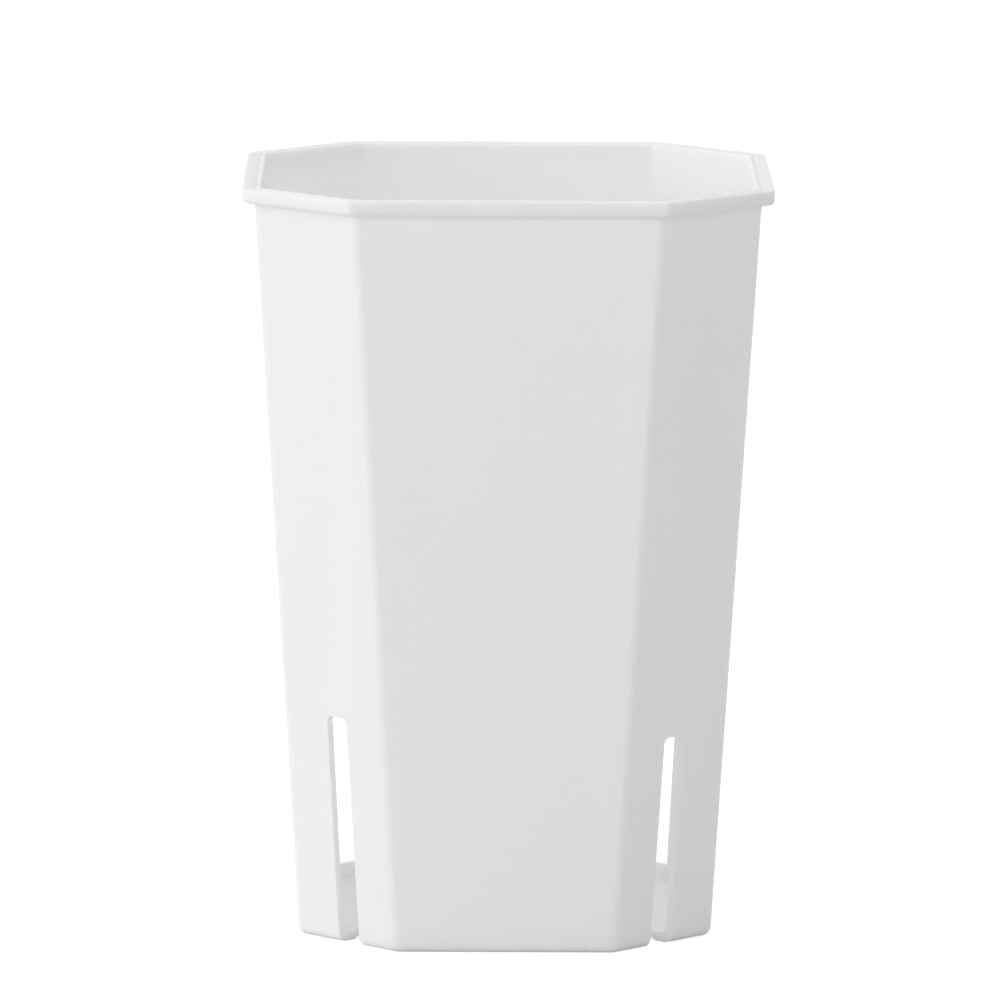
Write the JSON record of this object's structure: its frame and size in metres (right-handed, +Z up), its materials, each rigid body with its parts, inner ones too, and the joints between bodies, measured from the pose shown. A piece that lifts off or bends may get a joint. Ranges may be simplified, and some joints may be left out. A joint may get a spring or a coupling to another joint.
{
  "type": "plant pot",
  "caption": "Deep tapering square plant pot with cut corners, a turned-out rim band and an upright drainage slot low in each corner.",
  "frame": {"origin": "middle of the pot's footprint, on the ground plane that it stands on", "axes": "+Z up along the pot's height; -Y is the side that faces the camera in the picture; +X to the right seen from there"},
  "size_m": [0.1, 0.1, 0.144],
  "materials": {
    "white_plastic": "satin white moulded polypropylene, a little light passes through thin walls"
  },
  "bodies": {
    "root": {"pot": "white_plastic"}
  },
  "joints": []
}
